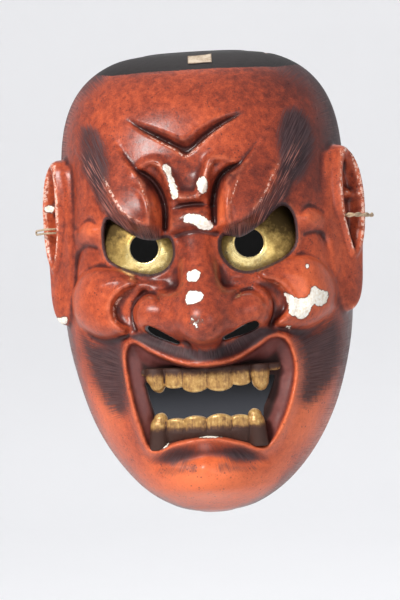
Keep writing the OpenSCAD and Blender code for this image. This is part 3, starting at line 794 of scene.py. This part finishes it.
def lacquered_face():
    p = Paint("aged_vermilion_lacquer")
    broad, mid, fine = p.noise(0.045, 5), p.noise(0.34, 6, 0.62), p.noise(1.7, 4, 0.6)
    tone_light_and_shade = p.sway(p.mark("tone_light_and_shade"), broad, 0.9)
    tone_light_and_shade = p.sway(tone_light_and_shade, mid, 1.05)
    tone_light_and_shade = p.sway(tone_light_and_shade, fine, 0.7)
    cavity = p.mark("cavity")
    # Painted shade: darker in hollows and creases, read from the cavity mark
    tone_light_and_shade = p.less(tone_light_and_shade, p.ease(cavity, 0.53, 0.68, 0, 0.75))
    colour = p.ramp(p.ease(tone_light_and_shade, -1.35, 1.35), [
        (0.0, (0.028, 0.007, 0.006)), (0.2, (0.07, 0.013, 0.01)), (0.36, (0.135, 0.024, 0.014)),
        (0.5, (0.26, 0.042, 0.019)), (0.68, (0.46, 0.08, 0.029)), (1.0, (0.76, 0.165, 0.058)),
    ])
    # Dark specks in the lacquer, gathered in patches by a noise
    speck = p.ease(p.cells(0.62), 0.16, 0.3, 1, 0)
    speck = p.times(speck, p.ease(p.noise(0.11, 3), 0.48, 0.62))
    colour = p.mix(p.times(speck, 0.75), colour, (0.07, 0.022, 0.02))
    grime = p.ease(p.noise(0.9, 5, 0.7), 0.56, 0.72)
    colour = p.mix(p.times(grime, 0.42), colour, (0.1, 0.03, 0.024))
    # Rubbed crests
    crest = p.ease(cavity, 0.46, 0.33)
    rub = p.add(p.times(p.mark("wear"), 0.62), p.times(crest, 0.5))
    rub = p.times(rub, p.ease(mid, 0.3, 0.62), True)
    colour = p.mix(p.times(rub, 0.55), colour, (0.6, 0.16, 0.075))
    pale = p.times(p.mark("wear"), p.ease(p.noise(0.7, 5, 0.7), 0.4, 0.56))
    colour = p.mix(p.times(p.ease(pale, 0.45, 0.9), 0.8), colour, (0.8, 0.52, 0.42))
    # Brushed black
    strokes = p.noise(1.0, 2, 0.5, p.vector("MULTIPLY", p.mark("strokes", "Vector"), (3.0, 0.1, 1.0)))
    ink = p.sway(p.mark("ink"), strokes, 0.95)
    ink = p.sway(ink, mid, 0.7)
    ink = p.times(p.ease(ink, 0.24, 0.96), p.ease(p.mark("ink"), 0.02, 0.35))
    soot = p.mix(p.ease(strokes, 0.35, 0.65), (0.01, 0.007, 0.01), (0.06, 0.036, 0.04))
    colour = p.mix(p.times(ink, 0.93), colour, soot)
    hairs = p.noise(1.0, 2, 0.5, p.vector("MULTIPLY", p.mark("strokes", "Vector"), (2.6, 0.1, 1.0)))
    colour = p.mix(p.times(p.mark("hairy"), p.ease(hairs, 0.52, 0.42, 0, 0.85)), colour, (0.04, 0.014, 0.016))
    colour = p.mix(p.times(p.mark("hairy"), p.ease(hairs, 0.54, 0.62, 0, 0.7)), colour, (0.46, 0.17, 0.13))
    inner = p.mix(mid, (0.1, 0.028, 0.026), (0.22, 0.07, 0.062))
    colour = p.mix(p.ease(p.mark("gums"), 0, 0.5, 0, 0.75), colour, inner)
    colour = p.mix(p.ease(p.mark("gums"), 0.5, 1, 0, 0.9), colour, (0.016, 0.009, 0.008))
    colour = p.mix(p.times(p.mark("pink"), 0.5), colour, (0.62, 0.28, 0.24))
    band = p.ease(p.sway(p.mark("band"), mid, 1.6), -0.25, 0.25)
    colour = p.mix(band, colour, p.mix(mid, (0.006, 0.005, 0.005), (0.026, 0.02, 0.02)))
    # White ground in the chips, with a dirty edge
    chip = p.sway(p.mark("chips"), p.noise(0.55, 6, 0.68), 2.6)
    colour = p.mix(p.ease(chip, -0.5, -0.05), colour, (0.16, 0.06, 0.045))
    white = p.mix(p.ease(p.noise(0.8, 5), 0.35, 0.7), (0.95, 0.92, 0.85), (0.76, 0.66, 0.52))
    bare = p.ease(chip, -0.05, 0.12)
    colour = p.mix(bare, colour, white)
    # The back: dark lacquer rubbed on the bare wood, with its grain
    grain = p.noise(1.0, 5, 0.6, p.vector("MULTIPLY", p.mm, (1.1, 1.1, 0.09)))
    wood = p.ramp(grain, [(0.3, (0.045, 0.02, 0.012)), (0.5, (0.12, 0.055, 0.028)), (0.7, (0.2, 0.1, 0.05))])
    wood = p.mix(p.ease(cavity, 0.5, 0.4, 0, 0.6), wood, (0.28, 0.15, 0.075))
    wood = p.mix(p.ease(broad, 0.5, 0.75, 0, 0.7), wood, (0.05, 0.024, 0.015))
    back = p.ease(p.mark("back"), 0.3, 0.7)
    colour = p.mix(back, colour, wood)
    rough = p.add(0.2, p.times(mid, 0.24))
    rough = p.blend(p.math("MAXIMUM", ink, band), rough, 0.6)
    rough = p.blend(p.ease(p.mark("gums"), 0.45, 0.7), rough, 0.9)
    rough = p.blend(bare, rough, 0.85)
    rough = p.blend(back, rough, 0.55)
    height = p.add(p.times(mid, 0.35), p.times(fine, 0.14))
    height = p.less(height, p.times(bare, 0.9))
    height = p.less(height, p.times(ink, p.times(strokes, 0.4)))
    height = p.add(height, p.times(p.mark("hairy"), p.times(hairs, 1.6)))
    height = p.add(height, p.times(back, p.times(grain, 0.5)))
    return p.finish(colour, rough, height, 0.00032, 0.9, Specular_IOR_Level=0.3)


def dress_shell():
    """Makes the carved face, with the marks that its paint reads, and gives back its block."""
    block, room, head = carved_shell()
    points, faces = block.mesh()
    x, d, z = points[:, 0], -points[:, 1], points[:, 2]
    solid = (block.field < 0).astype(np.float32)
    cavity = grid_at(block, blur(solid, max(2, round(2.6 / STEP))), points)
    band_edge = BLACK_Z + 3.2 * np.clip((np.abs(x - 2) - 34) / 14, 0, 1.4) ** 1.5
    cu, cv = face.at(centre_u, x, z), face.at(centre_v, x, z)
    reach, turn = np.hypot(x - cu, z - cv), np.arctan2(x - cu, z - cv) * 42
    ear = ease(grid_at(block, head, points), 0.4, 1.6)
    ear *= (np.abs(x) > 55) & (z > -22) & (z < 62) & (d < 45)
    drawn = {
        name: face.at(drawing, x, z)
        for name, drawing in (("tone_light_and_shade", tone_light_and_shade), ("wear", wear), ("ink", ink), ("gums", gums), ("pink", pink),
                              ("hairy", hairy), ("chips", chips))
    }
    # The drawings stop at the ears, which have a plain tone and worn edges of their own
    drawn["tone_light_and_shade"] = drawn["tone_light_and_shade"] * (1 - ear) + 0.15 * ear
    drawn["wear"] = drawn["wear"] * (1 - ear) + 0.95 * ear * ease(cavity, 0.42, 0.32)
    drawn["ink"] *= 1 - ear
    drawn["chips"] -= 12 * (1 - ear) * (x < -58)
    drawn |= {
        "band": z - band_edge, "cavity": cavity,
        "back": np.where((np.abs(grid_at(block, room, points)) < 1.3) | (d < 0.7), 1.0, 0.0),
        "strokes": np.stack([turn, reach, 0 * reach], 1),
    }
    shell = make("carved_face", points, faces, drawn)
    shell.data.materials.append(lacquered_face())
    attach(shell, "root")
    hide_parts("face_shell")
    return block


# ---- Eye plates and teeth ----
def gilt_metal():
    p = Paint("dulled_gilt_metal")
    mid, fine = p.noise(0.42, 6, 0.65), p.noise(2.2, 4, 0.6)
    # The mark carries the gilt's tone with painted highlight and painted shade
    gilt_tone_light_and_shade = p.sway(p.mark("gilt_tone_light_and_shade"), mid, 1.1)
    colour = p.ramp(gilt_tone_light_and_shade, [
        (0.05, (0.1, 0.062, 0.02)), (0.35, (0.34, 0.22, 0.065)), (0.62, (0.66, 0.46, 0.15)),
        (0.95, (0.95, 0.78, 0.36)),
    ])
    spot = p.times(p.ease(p.cells(0.75), 0.2, 0.1), p.ease(mid, 0.48, 0.6))
    colour = p.mix(spot, colour, (0.09, 0.05, 0.02))
    rough = p.add(0.27, p.times(p.ease(gilt_tone_light_and_shade, 0.9, 0.1), 0.3))
    height = p.add(p.times(p.cells(0.4), -0.5), p.times(fine, 0.25))
    return p.finish(colour, rough, height, 0.0003, 0.5, Metallic=0.85)


def eye_plate(name, node, side, eye):
    """A domed plate a little larger than the opening, with a rolled lip round the pupil."""
    low, high = ((-43, -58, 0), (-6, -36, 32)) if side < 0 else ((7, -58, -1), (46, -36, 34))
    block = Block(low, high, 0.38)
    cut, x, d, z = block.part()
    gap = pierced(eye)(x, d, z) - 1.1
    pupil_x = PUPIL_MID + side * PUPIL_OUT
    pupil = np.hypot(x - pupil_x, z - PUPIL_Z)
    ball = np.sqrt((x - side * 19.5) ** 2 + (d - 24.7) ** 2 + (z - 14) ** 2) - 30.2
    lip = 0.22 * bell(pupil, 7.2, 1.1)
    dome = soft_max(np.abs(ball - lip * 0.5) - 0.8 - lip * 0.5, gap, 0.4)
    block.field = soft_max(dome, 6.2 - pupil, 0.5)
    points, faces = block.mesh()
    reach = np.hypot(points[:, 0] - pupil_x, points[:, 2] - PUPIL_Z)
    # Painted highlight low on the plate and round the pupil, painted shade at the top under the brow and at
    # the outer edge
    gilt_tone_light_and_shade = 0.5 + 0.34 * ease(points[:, 2] + 0.25 * side * points[:, 0], 24, 8) + 0.22 * ease(reach, 10, 7)
    gilt_tone_light_and_shade -= 0.42 * ease(points[:, 2], 14, 25) + 0.22 * ease(np.abs(points[:, 0]), 30, 40)
    plate = make(name, points, faces, {"gilt_tone_light_and_shade": gilt_tone_light_and_shade})
    plate.data.materials.append(gilt_metal())
    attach(plate, "root")
    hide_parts(node)


def gilt_wood():
    p = Paint("worn_gilding")
    mid, fine = p.noise(0.5, 5, 0.62), p.noise(2.4, 4, 0.6)
    streak = p.noise(1.0, 4, 0.6, p.vector("MULTIPLY", p.mm, (1.2, 1.2, 0.16)))
    # The mark carries painted shade between the teeth as well as the gum's dark paint
    level = p.sway(p.mark("gilt_tone_light_and_shade"), mid, 0.9)
    level = p.sway(level, streak, 0.55)
    colour = p.ramp(level, [
        (0.02, (0.045, 0.017, 0.011)), (0.3, (0.13, 0.056, 0.02)), (0.6, (0.4, 0.22, 0.065)),
        (0.95, (0.72, 0.5, 0.2)),
    ])
    rough = p.add(0.34, p.times(p.ease(level, 0.8, 0.1), 0.3))
    height = p.add(p.times(mid, 0.5), p.times(fine, 0.2))
    return p.finish(colour, rough, height, 0.00035, 0.7, Metallic=0.3)


def tooth_row(name, node, teeth, root, end, fangs):
    """Teeth on an arc, let into the gum from root to end; each is its middle, width and free edge."""
    up = 1 if root > end else -1
    gum_z = -38.2 if up > 0 else -65.2
    block = Block((-31, -64, min(root, end)), (37, -41, max(root, end)), 0.42)
    cut, x, d, z = block.part()
    along = ARCH_R * np.arctan2(x - ARCH_X, d - ARCH_D)
    out = np.hypot(x - ARCH_X, d - ARCH_D)
    arc_r = 57.9 - 0.6 * np.maximum(up * (z - gum_z), 0)
    for centre, wide, edge in teeth:
        s = along - (centre - ARCH_X)
        side_gap = np.abs(s) - wide / 2 + 0.75 + 0.2 * ease(up * (z - edge), 0, 5)
        deep = np.abs(out - arc_r + 0.045 * s * s) - 1.9
        free = up * (edge - z) + 1.1 + 0.05 * s * s
        corner = sum(np.maximum(v, 0) ** 2 for v in (side_gap, deep, free)) ** 0.5
        box = corner + np.minimum(np.maximum(np.maximum(side_gap, deep), free), 0) - 1.1
        block.field = soft_min(block.field, box, 0.35)
    first, last = teeth[0][0] - teeth[0][1] / 2 - ARCH_X, teeth[-1][0] + teeth[-1][1] / 2 - ARCH_X
    gum = np.maximum(np.maximum(first - along, along - last), np.abs(out - arc_r) - 2.1)
    block.field = soft_min(block.field, soft_max(gum, up * (gum_z - z), 2.5), 1.6)
    for chain in fangs:
        block.field = soft_min(block.field, ball_chain(chain)(x, d, z), 0.5)
    block.field = soft_max(block.field, up * (z - root) + 1.5, 0.6)
    points, faces = block.mesh()
    crowd = grid_at(block, blur((block.field < 0).astype(np.float32), 3), points)
    rooted = up * (points[:, 2] - gum_z)
    # Painted shade between the teeth where the block is crowded, dark gum paint at the roots, lighter where
    # the teeth stand clear
    gilt_tone_light_and_shade = 0.56 - 0.9 * ease(crowd, 0.55, 0.8) - 0.8 * ease(rooted, -3.4, 0.6) + 0.22 * ease(crowd, 0.45, 0.3)
    row = make(name, points, faces, {"gilt_tone_light_and_shade": gilt_tone_light_and_shade})
    row.data.materials.append(gilt_wood())
    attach(row, "root")
    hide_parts(node)


# ---- Ear strings and the label ----
STRING_SIDES = 10


def ring_quads(rings, sides):
    """Quads between rings of points that follow each other."""
    return [(i + k, i + (k + 1) % sides, i + sides + (k + 1) % sides, i + sides + k)
            for i in range(0, (rings - 1) * sides, sides) for k in range(sides)]


def sweep_string(path, radius, sides=STRING_SIDES):
    """Points and quads of a round string along a path."""
    path = np.array(path, float)
    ahead = np.gradient(path, axis=0)
    ahead /= np.linalg.norm(ahead, axis=1)[:, None]
    ref = np.array([0.12, 0.2, 0.97])
    a = np.cross(ahead, ref)
    a /= np.linalg.norm(a, axis=1)[:, None]
    b = np.cross(ahead, a)
    turn = np.arange(sides) * 2 * math.pi / sides
    size = np.full(len(path), radius)
    size[[0, -1]] = radius * 0.35
    ring = a[:, None] * np.cos(turn)[None, :, None] + b[:, None] * np.sin(turn)[None, :, None]
    points = (path[:, None] + ring * size[:, None, None]).reshape(-1, 3)
    n = len(path)
    quads = ring_quads(n, sides)
    for base, order in ((0, -1), ((n - 1) * sides, 1)):
        loop = [base + k for k in range(sides)][::order]
        quads += [(loop[0], loop[k], loop[k + 1], loop[k + 2]) for k in range(1, sides - 2, 2)]
    return points, np.array(quads), np.repeat(np.arange(n), sides) / n


def string_paint():
    p = Paint("twisted_hemp")
    lay = p.vector("MULTIPLY", p.mark("lay", "Vector"), (1.0, 1.0, 0.0))
    wave = p.node("TexWave", Vector=lay, Scale=0.5, Distortion=1.2, Detail=2)
    wave.bands_direction = "DIAGONAL"
    fibre = p.add(p.times(wave.outputs["Fac"], 0.6), p.times(p.noise(2.5, 5), 0.4))
    colour = p.ramp(fibre, [
        (0.1, (0.16, 0.085, 0.04)), (0.45, (0.5, 0.34, 0.19)), (0.85, (0.74, 0.56, 0.36)),
    ])
    colour = p.mix(p.ease(p.noise(0.5, 4), 0.5, 0.7, 0, 0.5), colour, (0.2, 0.12, 0.07))
    return p.finish(colour, 0.85, fibre, 0.00025, 0.9, Sheen_Weight=0.25)


def ear_string(name, node, side, twist, spread, radius):
    """A doubled string: knotted in the hollow, out through the ear, and back from a bight past its edge."""
    route = smooth([
        (50.4, -12), (54, -15.5), (58, -19.4), (62.4, -23.7), (66, -27.2), (68.8, -28.6), (71.4, -26.2),
        (74, -21.5), (76, -17.2), (77, -14.9),
    ], 7)
    n = len(route)
    ahead = np.gradient(route, axis=0)
    ahead /= np.linalg.norm(ahead, axis=1)[:, None]
    across = np.stack([-ahead[:, 1], ahead[:, 0]], 1)
    slim = 1 if side > 0 else 0.968
    legs = []
    for way in (1, -1):
        phase = np.arange(n) / n * 2 * math.pi * twist
        close = np.clip(np.sqrt(np.clip((n - 1 - np.arange(n)) / 3.5, 0, 1)), 0, 1)
        off_z, off_a = spread * way * close * np.cos(phase), spread * way * close * np.sin(phase)
        xy = route + across * off_a[:, None]
        legs.append(np.stack([side * xy[:, 0] * slim, xy[:, 1], CORD_Z + off_z], 1))
    line = np.vstack([legs[0], legs[1][::-1][1:]])
    t = np.linspace(0, 2 * math.pi, 46)
    knot = np.stack([side * (49.6 + 0.54 * np.sin(3 * t)), -11.2 - 0.44 * (np.cos(t) - 2 * np.cos(2 * t)),
                     CORD_Z + 0.6 * (np.sin(t) + 2 * np.sin(2 * t))], 1)
    points, quads, lay, base = [], [], [], 0
    for path, reach in ((line, 200), (knot, 60)):
        p, q, share = sweep_string(path, radius)
        points.append(p)
        quads.append(q + base)
        round_it = np.tile(np.arange(STRING_SIDES) / STRING_SIDES * 3, len(path))
        lay.append(np.stack([share * reach, round_it, 0 * share], 1))
        base += len(p)
    piece = make(name, np.vstack(points), np.vstack(quads), {"lay": np.vstack(lay)})
    piece.data.materials.append(string_paint())
    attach(piece, "root")
    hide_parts(node)


def paper():
    p = Paint("old_paper")
    stain, fibre = p.noise(0.35, 5, 0.6), p.noise(3.0, 5, 0.7)
    colour = p.mix(p.ease(stain, 0.4, 0.7), (0.62, 0.52, 0.4), (0.4, 0.29, 0.2))
    colour = p.mix(p.mark("worn"), colour, (0.16, 0.1, 0.075))
    colour = p.mix(p.times(p.ease(fibre, 0.55, 0.7), 0.3), colour, (0.75, 0.66, 0.54))
    return p.finish(colour, 0.9, fibre, 0.00012, 0.6)


def label(block):
    """A blank slip of paper on the crown, following the surface, one corner lifting."""
    cols, rows = 19, 13
    su, sv = np.meshgrid(np.linspace(-1, 1, cols), np.linspace(-1, 1, rows), indexing="ij")
    x, z = 4.2 + 5.3 * su - 0.25 * sv, 97.9 + 2.1 * sv + 0.12 * np.sin(3 * su)
    ys = np.arange(-60, 0, 0.25)
    line = np.stack([np.repeat(x.ravel(), len(ys)), np.tile(ys, x.size), np.repeat(z.ravel(), len(ys))], 1)
    value = grid_at(block, block.field, line).reshape(x.size, len(ys))
    hit = np.argmax(value < 0, axis=1)
    before, after = value[np.arange(x.size), hit - 1], value[np.arange(x.size), hit]
    y = (ys[hit - 1] + 0.25 * before / (before - after)).reshape(x.shape)
    lift = 0.1 + 0.55 * ease(su + sv, 1.3, 2.1)
    sheets = [np.stack([x, y - up * 0.6, z + up * 0.8], -1).reshape(-1, 3) for up in (lift, lift + 0.24)]
    n, quads = cols * rows, []
    for i in range(cols - 1):
        for j in range(rows - 1):
            a, b, c, e = i * rows + j, (i + 1) * rows + j, (i + 1) * rows + j + 1, i * rows + j + 1
            quads += [(a, e, c, b), (n + a, n + b, n + c, n + e)]
    rim = [i * rows for i in range(cols)] + [(cols - 1) * rows + j for j in range(1, rows)]
    rim += [i * rows + rows - 1 for i in range(cols - 2, -1, -1)] + list(range(rows - 2, 0, -1))
    quads += [(a, b, n + b, n + a) for a, b in zip(rim, rim[1:] + rim[:1])]
    edge = np.maximum(np.abs(su), np.abs(sv)).ravel()
    worn = np.tile(ease(edge, 0.86, 1.02) * 0.7, 2)
    slip = make("paper_label", np.vstack(sheets), np.array(quads), {"worn": worn})
    slip.data.materials.append(paper())
    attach(slip, "root")
    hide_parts("label")


carved = dress_shell()
eye_plate("gilt_eye_left", "left_eye_plate", -1, LEFT_EYE)
eye_plate("gilt_eye_right", "right_eye_plate", 1, RIGHT_EYE)
tooth_row("teeth_upper", "upper_teeth", [
    (-28.4, 5, -40.4), (-12.9, 8.2, -46), (-3.5, 11.4, -48), (7.5, 11.4, -48), (17, 8.4, -46),
    (32.6, 6, -40.4),
], -35.5, -51, [
    [(-20.6, 52.8, -36, 4.4), (-20.2, 53.4, -40.5, 4.5), (-19.4, 53.6, -43.8, 3.5), (-19, 53.5, -45.4, 2.3)],
    [(24.2, 53.4, -36, 4.3), (24.4, 54, -41, 4.5), (24.8, 54.2, -44.4, 3.7), (25, 54, -46, 2.7)],
])
tooth_row("teeth_lower", "lower_teeth", [
    (-13.4, 8, -58.8), (-4.5, 10.7, -58), (6.7, 12, -57.6), (16, 7.6, -58.4),
], -74, -53, [
    [(-20.6, 50.5, -72, 4.4), (-19.8, 53.3, -62, 3.9), (-19, 53.4, -59.4, 3.1), (-18.6, 53.4, -58.4, 2.2)],
    [(22.6, 51, -72, 4.4), (22, 54.3, -62, 3.8), (21.6, 54.3, -59.2, 3), (21.4, 54.3, -58.2, 2.1)],
])
ear_string("ear_string_left", "left_ear_cord", -1, 0, 0.85, 0.46)
ear_string("ear_string_right", "right_ear_cord", 1, 3.2, 0.52, 0.55)
label(carved)


# ---- Studio ----
def studio_paint():
    p = Paint("pale_paper_sweep")
    # Painted shade: paler at floor level, greyer up the wall, with random mottling
    tint_and_shade = p.mix(p.ease(p.height(), -440, 0), (0.9, 0.9, 0.91), (0.8, 0.8, 0.81))
    tint_and_shade = p.mix(p.times(p.noise(0.004, 4), 0.08), tint_and_shade, (0.6, 0.6, 0.61))
    return p.finish(tint_and_shade, 0.9, p.noise(0.5, 3), 0.0002, 0.4)


def sweep():
    """A pale floor that curves up into a round wall well away from the mask."""
    profile = smooth([
        (0.001, -0.45), (1.4, -0.45), (2.6, -0.45), (3.4, -0.32), (3.9, 0.2), (4, 1.2), (4, 3.4),
    ], 6)
    n = 72
    ring = np.arange(n) * 2 * math.pi / n
    points = np.array([(r * math.cos(a), r * math.sin(a), h) for r, h in profile for a in ring]) / MM
    floor = make("floor_sweep", points, np.array(ring_quads(len(profile), n)))
    floor.data.materials.append(studio_paint())


def shade_card():
    """A small dark card behind the mask, a painted shadow standing in for the shaded surface behind it, so
    that pupils and mouth read dark, as in the photo.
    """
    n, x, z, front, back = 48, -14, -22, 300, 301.5

    def rounded(k, y):
        for a in (2 * math.pi * i / n for i in range(n)):
            c, s = math.cos(a), math.sin(a)
            across, up = math.copysign(abs(c) ** 0.5, c), math.copysign(abs(s) ** 0.5, s)
            yield (x + 60 * k * across, y, z + 75 * k * up)

    rings = [*rounded(0.96, front), *rounded(1, front), *rounded(1, back), *rounded(0.96, back)]
    points = np.array([*rings, (x, front, z), (x, back, z)])
    tri = [corners for a, b, c, e in ring_quads(4, n) for corners in ((a, b, c), (a, c, e))]
    tri += [(4 * n, (i + 1) % n, i) for i in range(n)]
    tri += [(4 * n + 1, 3 * n + i, 3 * n + (i + 1) % n) for i in range(n)]
    card = make("shade_card", points, np.array(tri))
    p = Paint("painted_shadow_card")
    # Painted shadow: near black at the top, greyer low down where the mouth gap shows it
    dark = p.mix(p.ease(p.height(), -52, -80), (0.003, 0.003, 0.003), (0.045, 0.047, 0.055))
    card.data.materials.append(p.finish(dark, 0.9, Specular_IOR_Level=0.1))


def light(name, kind, place, aim, power, colour=(1, 1, 1), **settings):
    lamp = bpy.data.lights.new(name, kind)
    lamp.energy, lamp.color = power, colour
    for key, value in settings.items():
        setattr(lamp, key, value)
    thing = bpy.data.objects.new(name, lamp)
    thing.location = place
    thing.rotation_euler = (Vector(aim) - Vector(place)).to_track_quat("-Z", "Y").to_euler()
    bpy.context.collection.objects.link(thing)


sweep()
shade_card()
light("key", "AREA", (-0.85, -1.6, 1.05), (0, 0, 0), 50, (1, 0.985, 0.955), shape="DISK", size=0.45)
light("fill", "SPOT", (1.3, -1.7, -0.1), (0, 0, 0), 42, (0.95, 0.97, 1),
      spot_size=math.radians(50), spot_blend=1, shadow_soft_size=0.6)
light("back_wall", "AREA", (0, 1.6, 1.9), (0, 3.4, -0.3), 31, shape="DISK", size=1.6)
world = bpy.data.worlds.new("soft_room")
bpy.context.scene.world = world
world.use_nodes = True
world.node_tree.nodes["Background"].inputs["Color"].default_value = (0.93, 0.95, 1, 1)
world.node_tree.nodes["Background"].inputs["Strength"].default_value = 0.46
